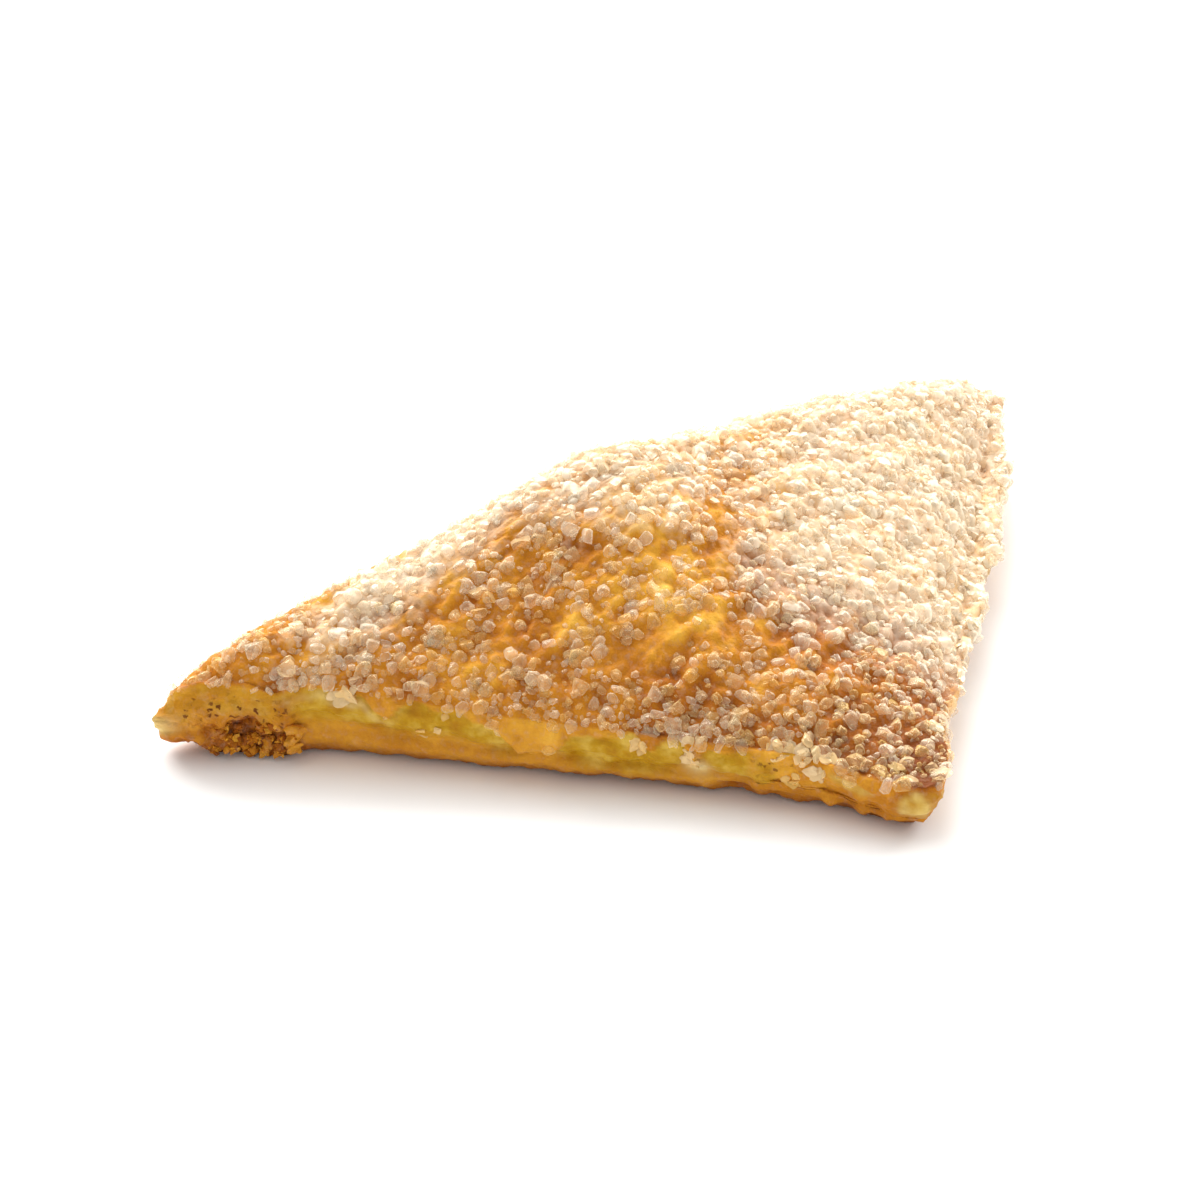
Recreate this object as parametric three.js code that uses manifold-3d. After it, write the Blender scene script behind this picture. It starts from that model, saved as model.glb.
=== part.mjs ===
// A sugared turnover: a square of puff pastry folded corner to corner over its filling, so that it
// bakes into a puffed right-angled triangle. The long side is the round fold. The two short sides are the
// cut and sealed edges, where the upper and the lower sheet show one above the other.
// Millimetres, +Z up. The outline is drawn about the middle of the sheet's fold, and the finished turnover is
// moved so that the origin is on the resting plane, under the middle of its own box.
import * as THREE from "three";
import { mergeVertices } from "three/addons/utils/BufferGeometryUtils.js";
import Module from "manifold-3d";

// Driving dimensions
const LEG = 117; // each cut side, from sharp corner to sharp corner
const DOME_RISE = 38; // what the filling adds to the height of the sheets
const EDGE_HEIGHT = 8.5; // both sheets together at a cut side
const FRONT_SLOPE = 28.9; // how far in from the front side the dome takes to rise
const RIGHT_SLOPE = 31.7; // the same from the right side
const SLOPE_POWER = 0.83;
const DOME_LEAN = 0.16 / 80; // the dome grows towards the far corner, for each mm along the fold
const FOLD_REACH = 23; // width of the rounding along the fold
const FOLD_WIDEST = 13.4; // height at which the fold stands out furthest
const FOLD_UNDERCUT = 9; // how far the fold tucks in below
const UNDERCUT_START = 42; // how far from the sharp corners it tucks in fully
const TIP_REACH = 25; // length of the thicker dough at the two sharp corners
const NEAR_TIP_RISE = 5.8;
const FAR_TIP_RISE = 6.2;
const CORNER_SHARPNESS = 30; // exponent of the outline: higher gives sharper corners
const HUB = new THREE.Vector2(16, -16); // plan point that the rings of the skin run to
const NEAR_NOSE = 1.2; // how far the open tip stands out past its corner
const SQUARE_NOSE = 2.6; // the same for the square corner
const NOSE_REACH = 9;
const NOSE_SWELL = 2.4; // how far the open tip's end face is rounded out
const NOSE_LIFT = 1.4; // how far its end curls off the plate
const NEAR_FOOT = 9; // how far from its corner it touches the plate
const FRONT_HOLLOW = 1.6; // how far the front side draws in between its corners
const RIGHT_BULGE = 4.0; // how far the right side swells out
const FRONT_LIFT = 0.8; // how far the front side curls off the plate
const SIDE_LIFT = 1.0; // the same on the right side
const BASE_MARGIN = 12; // width of the curled margin of the base
const FOOT_RISE = 0.3; // how far the rim rises between its three feet, one at each corner
const FOOT_REACH = 8; // how far from a foot it has risen so
const SEAM = 0.6; // how far down the side face the upper sheet ends
const SEAM_DEPTH = 0.7; // groove between the upper and the lower sheet
const SHEET_SWELL = 1.0; // how far each sheet's cut face swells out
const RIGHT_SET_BACK = 1.6; // how far the right cut face stands back under the crust
const BASE_TUCK = 2.0; // how far the lower sheet tucks in at the base
const LAP_START = 0.76; // along the front side, where the upper sheet laps over the lower one
const CRAG_HEIGHT = 0.55; // wrinkles of the crust

const STATIONS = 120; // steps round the outline
const CROWN_RINGS = 14; // rings from the hub to the edge, on top
const SIDE_DEPTHS = [0.14, 0.32, 0.5, 0.62, 0.8, 1]; // rings down the side face, from the lip to the base
const BASE_RINGS = 3;

const FOLD_HALF = LEG / Math.SQRT2; // half of the fold's length
const HALF = LEG / 2;

// Repeatable random numbers from 0 to 1
function makeRandom(seed) {
  let state = seed >>> 0;
  return () => {
    state = (Math.imul(state, 1664525) + 1013904223) >>> 0;
    return state / 4294967296;
  };
}

const clamp = (value, low = 0, high = 1) => Math.min(high, Math.max(low, value));
const ease = (value) => clamp(value) ** 2 * (3 - 2 * clamp(value));
const hump = (value, centre, width) => Math.exp(-(((value - centre) / width) ** 2));

// The plan outline

// The three sides, each with its outward normal, its distance from the hub and how it bows
const SIDES = {
  front: {
    normal: new THREE.Vector2(0, -1),
    distance: HUB.y + HALF,
    bow: (x) => {
      const share = (x + HALF) / LEG;
      return 0.6 - (FRONT_HOLLOW + 0.6) * ease((share - 0.13) / 0.08) * ease((1.02 - share) / 0.2);
    },
  },
  right: {
    normal: new THREE.Vector2(1, 0),
    distance: HALF - HUB.x,
    bow: (x, y) => {
      const share = clamp((y + HALF) / LEG);
      return RIGHT_BULGE * Math.sin(Math.PI * share ** 1.6) + 0.6 * Math.sin(share * 34);
    },
  },
  fold: {
    normal: new THREE.Vector2(-1, 1).normalize(),
    distance: (HUB.x - HUB.y) / Math.SQRT2,
    bow: () => 0,
  },
};

// Share of each side at a direction from the hub, and the rounded outline's distance there
function outlineAt(angle) {
  const direction = new THREE.Vector2(Math.cos(angle), Math.sin(angle));
  const pulls = {};
  let sum = 0;
  for (const [name, side] of Object.entries(SIDES)) {
    pulls[name] = Math.max(0, direction.dot(side.normal) / side.distance) ** CORNER_SHARPNESS;
    sum += pulls[name];
  }
  const point = HUB.clone().addScaledVector(direction, sum ** (-1 / CORNER_SHARPNESS));
  const { x, y } = point;
  const share = {};
  for (const [name, side] of Object.entries(SIDES)) {
    share[name] = pulls[name] / sum;
    point.addScaledVector(side.normal, side.bow(x, y) * share[name]);
  }
  const nearTip = NEAR_NOSE * hump(Math.hypot(x + HALF, y + HALF), 0, NOSE_REACH);
  const squareTip = SQUARE_NOSE * hump(Math.hypot(x - HALF, y + HALF), 0, NOSE_REACH);
  point.addScaledVector(direction, nearTip + squareTip);
  return { point, share };
}

// Stations at even steps along the outline
function evenStations(count) {
  const fine = 4000;
  const lengths = [0];
  let last = outlineAt(0).point;
  for (let i = 1; i <= fine; i++) {
    const next = outlineAt((i / fine) * 2 * Math.PI).point;
    lengths.push(lengths[i - 1] + next.distanceTo(last));
    last = next;
  }
  const stations = [];
  let i = 0;
  for (let k = 0; k < count; k++) {
    const wanted = (lengths[fine] * k) / count;
    while (lengths[i + 1] < wanted) i++;
    const part = (wanted - lengths[i]) / (lengths[i + 1] - lengths[i]);
    stations.push(outlineAt(((i + part) / fine) * 2 * Math.PI));
  }
  return stations;
}

// The skin

// Wrinkles, a few millimetres to a few centimetres apart
function crag(x, y) {
  const swell = Math.sin(x / 6.1 + 1.7 * Math.sin(y / 9.3)) * Math.sin(y / 5.3 + 1.3 * Math.sin(x / 8.7));
  const furrow = Math.sin((x - 0.45 * y) / 2.9 + 1.2 * Math.sin(y / 7.0)) * hump(y, -44, 14);
  return CRAG_HEIGHT * (swell + 0.6 * furrow);
}

// Height of the crust over a plan point
function crustHeight(x, y) {
  const inFromFold = Math.max(0, (x - y) / Math.SQRT2);
  const alongFold = (x + y) / Math.SQRT2;
  const inFromFront = Math.max(0, y + HALF);
  const inFromRight = Math.max(0, HALF - x);
  const risen =
    (1 - Math.exp(-((inFromFront / FRONT_SLOPE) ** SLOPE_POWER))) *
    (1 - Math.exp(-((inFromRight / RIGHT_SLOPE) ** SLOPE_POWER)));
  const dome = DOME_RISE * risen * (1 + DOME_LEAN * alongFold);
  const crown = 6.7 * hump(alongFold, -12, 16) * hump(inFromFold, 10, 25);
  const nearTip = NEAR_TIP_RISE * hump(alongFold, -FOLD_HALF, TIP_REACH);
  const farTip = FAR_TIP_RISE * hump(alongFold, FOLD_HALF, TIP_REACH);
  const tips = nearTip + farTip;
  const full = EDGE_HEIGHT + dome + crown + tips + crag(x, y) * ease(inFromFold / 12) * ease(inFromFront / 6);
  const widest = Math.min(FOLD_WIDEST, 0.45 * full);
  const reach = Math.min(FOLD_REACH, full - widest);
  const fall = 1 - clamp(inFromFold / reach);
  return widest + (full - widest) * Math.sqrt(1 - fall * fall);
}

// Plan points of the rim that stand furthest out at the three corners
function feetAmong(stations) {
  const points = stations.map(({ point }) => point);
  const corners = [
    new THREE.Vector2(NEAR_FOOT - HALF, -HALF),
    new THREE.Vector2(HALF, -HALF),
    new THREE.Vector2(HALF, HALF),
  ];
  return corners.map((corner) =>
    points.reduce((best, next) => (next.distanceTo(corner) < best.distanceTo(corner) ? next : best)),
  );
}

// Height of the base's rim: it touches the plate at its three feet and curls up between them
function rimLift(point, share, feet) {
  const alongFront = clamp((point.x + HALF) / LEG);
  const alongRight = clamp((point.y + HALF) / LEG);
  const front = FRONT_LIFT * ease((alongFront - 0.13) / 0.1) * ease((0.98 - alongFront) / 0.2);
  const fromFoot = Math.min(...feet.map((foot) => foot.distanceTo(point)));
  const right = SIDE_LIFT * Math.sin(Math.PI * alongRight);
  const nose = NOSE_LIFT * ease((NEAR_FOOT - HALF - point.x) / 7) * ease((-HALF + 16 - point.y) / 8);
  return nose + (share.front * front + share.right * right + FOOT_RISE) * ease(fromFoot / FOOT_REACH);
}

// Outward shift of the side face, at `down` from 0 at the crust's lip to 1 at the base
function sideShift(down, point, share) {
  const lapped = ease(((point.x + HALF) / LEG - LAP_START) / 0.04) * share.front;
  const withinSheet = down < SEAM ? down / SEAM : (down - SEAM) / (1 - SEAM);
  const sheets = SHEET_SWELL * Math.sin(Math.PI * withinSheet) - SEAM_DEPTH * hump(down, SEAM, 0.12);
  const tuck = BASE_TUCK * ease((down - SEAM) / (1 - SEAM)) * (1 - 0.5 * lapped);
  const fromNear = Math.hypot(point.x + HALF, point.y + HALF);
  const fromFar = Math.hypot(point.x - HALF, point.y - HALF);
  const undercut = FOLD_UNDERCUT * ease(Math.min(fromNear, fromFar) / UNDERCUT_START);
  const round = undercut * (1 - Math.sqrt(1 - clamp(down) ** 2));
  const setBack = share.right * RIGHT_SET_BACK * ease(down / 0.4);
  const nose = NOSE_SWELL * hump(fromNear, 0, NOSE_REACH) * Math.sin(Math.PI * clamp(down));
  return (1 - share.fold) * (sheets - tuck - setBack) - share.fold * round + nose;
}

// Outward direction of the outline at a station
function outwardAt(stations, index) {
  const before = stations.at(index - 1).point;
  const after = stations[(index + 1) % stations.length].point;
  return new THREE.Vector2(after.y - before.y, before.x - after.x).normalize();
}

// One closed surface: rings of the crust out from the hub, the side face, and the rings of the base
function pastrySkin() {
  const stations = evenStations(STATIONS);
  const feet = feetAmong(stations);
  const rings = [];
  for (let r = 1; r <= CROWN_RINGS; r++) {
    const share = Math.sin((Math.PI / 2) * (r / CROWN_RINGS));
    rings.push(
      stations.map(({ point }) => {
        const plan = HUB.clone().lerp(point, share);
        return [plan.x, plan.y, crustHeight(plan.x, plan.y)];
      }),
    );
  }
  for (const down of SIDE_DEPTHS) {
    rings.push(
      stations.map(({ point, share }, i) => {
        const plan = point.clone().addScaledVector(outwardAt(stations, i), sideShift(down, point, share));
        const lip = crustHeight(point.x, point.y);
        const lift = rimLift(point, share, feet);
        const drop = share.fold * Math.sin((Math.PI / 2) * down) + (1 - share.fold) * down;
        return [plan.x, plan.y, lip + (lift - lip) * drop];
      }),
    );
  }
  const rim = rings.at(-1);
  for (let r = 1; r <= BASE_RINGS; r++) {
    const share = 1 - (r / (BASE_RINGS + 1)) ** 1.6;
    rings.push(
      rim.map(([x, y, z]) => {
        const plan = HUB.clone().lerp(new THREE.Vector2(x, y), share);
        const inward = Math.hypot(x - plan.x, y - plan.y);
        return [plan.x, plan.y, z * (1 - ease(inward / BASE_MARGIN))];
      }),
    );
  }

  const places = [HUB.x, HUB.y, crustHeight(HUB.x, HUB.y), ...rings.flat(2), HUB.x, HUB.y, 0];
  const faces = [];
  const at = (ring, i) => 1 + ring * STATIONS + (i % STATIONS);
  const last = 1 + rings.length * STATIONS;
  for (let i = 0; i < STATIONS; i++) {
    faces.push(0, at(0, i), at(0, i + 1));
    for (let r = 0; r + 1 < rings.length; r++) {
      faces.push(at(r, i), at(r + 1, i), at(r + 1, i + 1));
      faces.push(at(r, i), at(r + 1, i + 1), at(r, i + 1));
    }
    faces.push(last, at(rings.length - 1, i + 1), at(rings.length - 1, i));
  }
  const skin = new THREE.BufferGeometry();
  skin.setAttribute("position", new THREE.Float32BufferAttribute(places, 3));
  skin.setIndex(faces);
  return skin;
}

// The coarse sugar

const LUMPS = 86; // the largest lumps of sugar, on the crust
const LUMP_TRIES = 6000; // random places tried for them
const LUMP_LARGEST = 4.4;
const LUMP_SMALLEST = 2.6;
const LUMP_SPACING = 7.0; // least distance between two of them, in plan
const LUMP_SEED = 71;

// Larger flakes of fused sugar at the edges: share along the side, height above the plate, and size
const EDGE_FLAKES = [
  { side: "front", at: 0.235, height: 9.5, size: 4.6 },
  { side: "front", at: 0.2, height: 2.4, size: 3.4 },
  { side: "front", at: 0.39, height: 7.5, size: 3.6 },
  { side: "front", at: 0.71, height: 6.5, size: 5.2 },
  { side: "front", at: 0.83, height: 7.0, size: 5.6 },
  { side: "front", at: 0.87, height: 6.2, size: 5.0 },
  { side: "right", at: 0.3, height: 8.0, size: 3.4 },
  { side: "right", at: 0.55, height: 8.5, size: 4.2 },
  { side: "right", at: 0.78, height: 8.5, size: 4.4 },
];

// Outward normal of the crust at a plan point
function crustNormal(x, y) {
  const step = 0.5;
  const slopeX = (crustHeight(x + step, y) - crustHeight(x - step, y)) / (2 * step);
  const slopeY = (crustHeight(x, y + step) - crustHeight(x, y - step)) / (2 * step);
  return new THREE.Vector3(-slopeX, -slopeY, 1).normalize();
}

// Where the lumps lie, largest first, no two closer than LUMP_SPACING
function lumpSites(random) {
  const sites = [];
  for (let t = 0; t < LUMP_TRIES && sites.length < LUMPS; t++) {
    const x = (random() - 0.5) * LEG;
    const y = (random() - 0.5) * LEG;
    const fromFold = (x - y) / Math.SQRT2;
    if (fromFold < 5 || x > HALF - 3 || y < -HALF + 4) continue;
    if (sites.some((site) => Math.hypot(site.x - x, site.y - y) < LUMP_SPACING)) continue;
    const size = THREE.MathUtils.lerp(LUMP_LARGEST, LUMP_SMALLEST, sites.length / LUMPS);
    sites.push({ x, y, size });
  }
  return sites;
}

// A rough crystal lump of about 20 faces, flatter along the normal
function lump(size, centre, normal, random) {
  const shape = new THREE.IcosahedronGeometry(size / 2, 0);
  shape.deleteAttribute("normal");
  shape.deleteAttribute("uv");
  const rough = mergeVertices(shape);
  const place = rough.getAttribute("position");
  for (let i = 0; i < place.count; i++) {
    const scale = 0.82 + 0.36 * random();
    place.setXYZ(i, place.getX(i) * scale * 1.1, place.getY(i) * scale * 0.9, place.getZ(i) * scale * 0.7);
  }
  const stand = new THREE.Quaternion().setFromUnitVectors(new THREE.Vector3(0, 0, 1), normal);
  const turn = new THREE.Quaternion().setFromAxisAngle(new THREE.Vector3(0, 0, 1), 2 * Math.PI * random());
  rough.applyQuaternion(stand.multiply(turn));
  rough.translate(centre.x, centre.y, centre.z);
  return rough;
}

function sugarLumps() {
  const random = makeRandom(LUMP_SEED);
  const onCrust = lumpSites(random).map(({ x, y, size }) => {
    const normal = crustNormal(x, y);
    const centre = new THREE.Vector3(x, y, crustHeight(x, y)).addScaledVector(normal, 0.12 * size);
    return lump(size, centre, normal, random);
  });
  const atEdges = EDGE_FLAKES.map(({ side, at, height, size }) => {
    const { normal, bow } = SIDES[side];
    const along = at * LEG - HALF;
    const plan = side === "front" ? new THREE.Vector2(along, -HALF) : new THREE.Vector2(HALF, along);
    plan.addScaledVector(normal, bow(plan.x, plan.y) - 0.1);
    const outward = new THREE.Vector3(normal.x, normal.y, 0.25).normalize();
    return lump(size, new THREE.Vector3(plan.x, plan.y, height), outward, random);
  });
  return [...onCrust, ...atEdges];
}

// Joining

const wasm = await Module();
wasm.setup();

function toSolid(geometry) {
  return new wasm.Manifold(
    new wasm.Mesh({
      numProp: 3,
      vertProperties: new Float32Array(geometry.getAttribute("position").array),
      triVerts: new Uint32Array(geometry.index.array),
    }),
  );
}

function toGeometry(solid) {
  const { vertProperties, triVerts } = solid.getMesh();
  const geometry = new THREE.BufferGeometry();
  geometry.setAttribute("position", new THREE.BufferAttribute(vertProperties, 3));
  geometry.setIndex(new THREE.BufferAttribute(triVerts, 1));
  geometry.computeVertexNormals();
  return geometry;
}

let pastry = toSolid(pastrySkin());
for (const shape of sugarLumps()) pastry = pastry.add(toSolid(shape));

const goldenCrust = new THREE.MeshStandardMaterial({ color: 0xd99a4a, roughness: 0.6, metalness: 0 });
const turnover = new THREE.Mesh(toGeometry(pastry), goldenCrust);
turnover.name = "turnover";
turnover.geometry.computeBoundingBox();
const middle = turnover.geometry.boundingBox.getCenter(new THREE.Vector3());
turnover.geometry.translate(-middle.x, -middle.y, 0);

const part = new THREE.Group();
part.add(turnover);
export default part;
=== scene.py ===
import math

import bmesh
import bpy
import numpy as np
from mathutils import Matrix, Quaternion, Vector, kdtree, noise

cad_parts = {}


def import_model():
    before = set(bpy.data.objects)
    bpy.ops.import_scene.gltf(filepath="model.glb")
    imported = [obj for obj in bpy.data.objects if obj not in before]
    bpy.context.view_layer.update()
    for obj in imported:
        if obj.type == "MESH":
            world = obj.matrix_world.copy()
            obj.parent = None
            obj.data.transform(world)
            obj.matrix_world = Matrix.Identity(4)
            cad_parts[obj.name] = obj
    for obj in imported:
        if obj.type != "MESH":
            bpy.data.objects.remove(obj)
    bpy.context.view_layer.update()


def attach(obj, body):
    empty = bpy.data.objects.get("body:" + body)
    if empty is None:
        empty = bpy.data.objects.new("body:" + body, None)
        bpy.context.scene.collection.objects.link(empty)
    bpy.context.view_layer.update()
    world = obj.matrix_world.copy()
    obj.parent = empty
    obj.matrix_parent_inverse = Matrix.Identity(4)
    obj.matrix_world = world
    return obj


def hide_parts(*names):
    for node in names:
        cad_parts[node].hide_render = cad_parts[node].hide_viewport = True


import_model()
mm = 0.001

# Camera first, so that everything after is made for this view. Lengths are in millimetres.
view = {
    "lens": 100.0,
    "azimuth": 10.09,  # degrees to the right of the front
    "elevation": 30.44,
    "distance": 549.8,
    "sideways": -0.0027,  # the look is turned this much right, and this much up
    "upward": -0.0183,
    "height": 10.0,  # of the point that it is placed round
}

# The turnover's form, the same sizes as the solid that it dresses. A span is a start, the fade after it,
# an end and the fade before it.
form = {
    "leg": 117.0,  # each cut side
    "domeRise": 38.0,
    "edgeHeight": 8.5,
    "frontSlope": 28.9,
    "rightSlope": 31.7,
    "slopePower": 0.83,
    "domeLean": 0.002,
    "crownRise": 6.7,  # the dome's highest part
    "crownPlace": (-12.0, 10.0),  # along the fold, and in from it
    "crownReach": (16.0, 25.0),
    "foldReach": 23.0,
    "foldWidest": 13.4,
    "foldUndercut": 9.0,
    "undercutStart": 42.0,
    "tipReach": 25.0,
    "nearTipRise": 5.8,
    "farTipRise": 6.2,
    "cornerSharpness": 30,
    "cragMargins": (12.0, 6.0),  # crags fade in over this far from the fold, and from the front
    "foldShare": 0.45,  # height of the fold's widest point where the whole is low, as a share of it
    "hub": (16.0, -16.0),
    "nearNose": 1.2,
    "squareNose": 2.6,
    "noseReach": 9.0,
    "noseSwell": 2.4,
    "noseLift": 1.4,
    "nearFoot": 9.0,
    "frontHollow": 1.6,
    "hollowSpan": (0.13, 0.08, 1.02, 0.2),  # shares along the front side
    "rightBulge": 4.0,
    "bulgeBias": 1.6,  # above 1, the bulge is widest nearer the far end
    "sideWave": 0.6,  # how far the cut sides wander from their bow
    "sideWaveTurn": 34.0,  # radians of the wave along the right side
    "frontLift": 0.8,
    "liftSpan": (0.13, 0.1, 0.98, 0.2),
    "sideLift": 1.0,
    "baseMargin": 12.0,
    "seam": 0.6,
    "seamDepth": 0.7,
    "seamWidth": 0.12,
    "sheetSwell": 1.0,
    "rightSetBack": 1.6,
    "setBackFade": 0.4,
    "baseTuck": 2.0,
    "lapStart": 0.76,
    "lapFade": 0.04,
    "cragHeight": 0.55,
    "middle": (1.949, -2.702),  # plan point under the middle of the whole
}
leg = form["leg"]
half = leg / 2
hubX, hubY = form["hub"]
root2 = math.sqrt(2)
toFrame = np.array([-form["middle"][0], -form["middle"][1], 0.0])


def placeCamera():
    turn = math.radians(view["azimuth"])
    rise = math.radians(view["elevation"])
    back = Vector((math.sin(turn) * math.cos(rise), -math.cos(turn) * math.cos(rise), math.sin(rise)))
    right = Vector((math.cos(turn), math.sin(turn), 0))
    up = back.cross(right)
    look = -back + view["sideways"] * right + view["upward"] * up
    camera = bpy.data.objects.new("camera", bpy.data.cameras.new("camera"))
    camera.data.lens = view["lens"]
    camera.data.sensor_width = 36
    camera.data.clip_start = 0.01
    centre = Vector(toFrame.tolist()) + Vector((0, 0, view["height"]))
    camera.location = (centre + back * view["distance"]) * mm
    camera.rotation_euler = look.to_track_quat("-Z", "Y").to_euler()
    bpy.context.collection.objects.link(camera)
    bpy.context.scene.camera = camera


placeCamera()
print("camera placed")


def unit(value):
    return np.clip(value, 0, 1)


def ease(value):
    value = unit(value)
    return value * value * (3 - 2 * value)


def hump(value, centre, width):
    return np.exp(-(((value - centre) / width) ** 2))


# These go from 0 to 1 over the fade that follows a start, and from 1 to 0 over the one before an end
def after(value, start, fade):
    return ease((value - start) / fade)


def before(value, end, fade):
    return ease((end - value) / fade)


def between(value, start, fadeIn, end, fadeOut):
    return after(value, start, fadeIn) * before(value, end, fadeOut)


# How far along a side a plan coordinate is, from 0 at the near end to 1
def shareOf(value):
    return (value + half) / leg


def frontBow(x, y):
    share = shareOf(x)
    drawnIn = form["frontHollow"] + form["sideWave"]
    return form["sideWave"] - drawnIn * between(share, *form["hollowSpan"])


def rightBow(x, y):
    share = unit(shareOf(y))
    bulge = form["rightBulge"] * np.sin(np.pi * share ** form["bulgeBias"])
    return bulge + form["sideWave"] * np.sin(share * form["sideWaveTurn"])


sides = {
    "front": {"normal": (0.0, -1.0), "distance": hubY + half, "bow": frontBow},
    "right": {"normal": (1.0, 0.0), "distance": half - hubX, "bow": rightBow},
    "fold": {"normal": (-1 / root2, 1 / root2), "distance": (hubX - hubY) / root2, "bow": lambda x, y: 0 * x},
}


# Plan outline at angles from the hub, with the share that each side has in every point
def outlineAt(angles):
    dx, dy = np.cos(angles), np.sin(angles)
    sharp = form["cornerSharpness"]
    pull = {}
    for name, side in sides.items():
        nx, ny = side["normal"]
        pull[name] = np.maximum(0, (dx * nx + dy * ny) / side["distance"]) ** sharp
    total = sum(pull.values())
    reach = total ** (-1 / sharp)
    x, y = hubX + dx * reach, hubY + dy * reach
    outX, outY = x.copy(), y.copy()
    share = {}
    for name, side in sides.items():
        share[name] = pull[name] / total
        bow = side["bow"](x, y) * share[name]
        outX += side["normal"][0] * bow
        outY += side["normal"][1] * bow
    nose = form["nearNose"] * hump(np.hypot(x + half, y + half), 0, form["noseReach"])
    nose += form["squareNose"] * hump(np.hypot(x - half, y + half), 0, form["noseReach"])
    return outX + dx * nose, outY + dy * nose, share


def evenAngles(count):
    fine = np.linspace(0, 2 * np.pi, 6001)
    x, y, _ = outlineAt(fine)
    run = np.concatenate([[0], np.cumsum(np.hypot(np.diff(x), np.diff(y)))])
    return np.interp(np.arange(count) / count * run[-1], run, fine)


def crag(x, y):
    swell = np.sin(x / 6.1 + 1.7 * np.sin(y / 9.3)) * np.sin(y / 5.3 + 1.3 * np.sin(x / 8.7))
    furrow = np.sin((x - 0.45 * y) / 2.9 + 1.2 * np.sin(y / 7.0)) * hump(y, -44, 14)
    return form["cragHeight"] * (swell + 0.6 * furrow)


def crustHeight(x, y):
    inFromFold = np.maximum(0, (x - y) / root2)
    alongFold = (x + y) / root2
    inFromFront = np.maximum(0, y + half)
    inFromRight = np.maximum(0, half - x)
    power = form["slopePower"]
    risen = 1 - np.exp(-((inFromFront / form["frontSlope"]) ** power))
    risen *= 1 - np.exp(-((inFromRight / form["rightSlope"]) ** power))
    dome = form["domeRise"] * risen * (1 + form["domeLean"] * alongFold)
    crownAlong, crownIn = form["crownPlace"]
    reachAlong, reachIn = form["crownReach"]
    crown = form["crownRise"] * hump(alongFold, crownAlong, reachAlong) * hump(inFromFold, crownIn, reachIn)
    foldHalf = leg / root2
    tips = form["nearTipRise"] * hump(alongFold, -foldHalf, form["tipReach"])
    tips += form["farTipRise"] * hump(alongFold, foldHalf, form["tipReach"])
    full = form["edgeHeight"] + dome + crown + tips
    fromFold, fromFront = form["cragMargins"]
    full += crag(x, y) * ease(inFromFold / fromFold) * ease(inFromFront / fromFront)
    widest = np.minimum(form["foldWidest"], form["foldShare"] * full)
    reach = np.minimum(form["foldReach"], full - widest)
    fall = 1 - unit(inFromFold / reach)
    return widest + (full - widest) * np.sqrt(1 - fall * fall)


def rimLift(x, y, share):
    front = form["frontLift"] * between(unit(shareOf(x)), *form["liftSpan"])
    nose = form["noseLift"] * before(x, form["nearFoot"] - half, 7) * before(y, 16 - half, 8)
    right = form["sideLift"] * np.sin(np.pi * unit(shareOf(y)))
    return nose + share["front"] * front + share["right"] * right


def sideShift(down, x, y, share):
    seam = form["seam"]
    lapped = after(shareOf(x), form["lapStart"], form["lapFade"]) * share["front"]
    within = down / seam if down < seam else (down - seam) / (1 - seam)
    sheets = form["sheetSwell"] * math.sin(math.pi * within)
    sheets -= form["seamDepth"] * hump(down, seam, form["seamWidth"])
    tuck = form["baseTuck"] * after(down, seam, 1 - seam) * (1 - 0.5 * lapped)
    fromNear, fromFar = np.hypot(x + half, y + half), np.hypot(x - half, y - half)
    under = form["foldUndercut"] * ease(np.minimum(fromNear, fromFar) / form["undercutStart"])
    under *= 1 - math.sqrt(1 - min(down, 1) ** 2)
    setBack = share["right"] * form["rightSetBack"] * ease(down / form["setBackFade"])
    nose = form["noseSwell"] * hump(fromNear, 0, form["noseReach"]) * math.sin(math.pi * min(down, 1))
    return (1 - share["fold"]) * (sheets - tuck - setBack) - share["fold"] * under + nose


# Noise over a list of points: about -1 to 1, `size` millimetres from swell to swell
def noiseOver(points, size, shift):
    return np.array([noise.noise(p) for p in (points / size + shift).tolist()]) * 1.4


# Distance to the nearest of scattered seeds `size` millimetres apart, in units of that size
def cellsOver(points, size, shift):
    return np.array([noise.voronoi(p)[0][0] for p in (points / size + shift).tolist()])


# The same points with their heights squeezed or stretched, for patterns that run along or up a cut side
def stretched(points, upwards):
    return points * np.array([1, 1, upwards])


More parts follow.
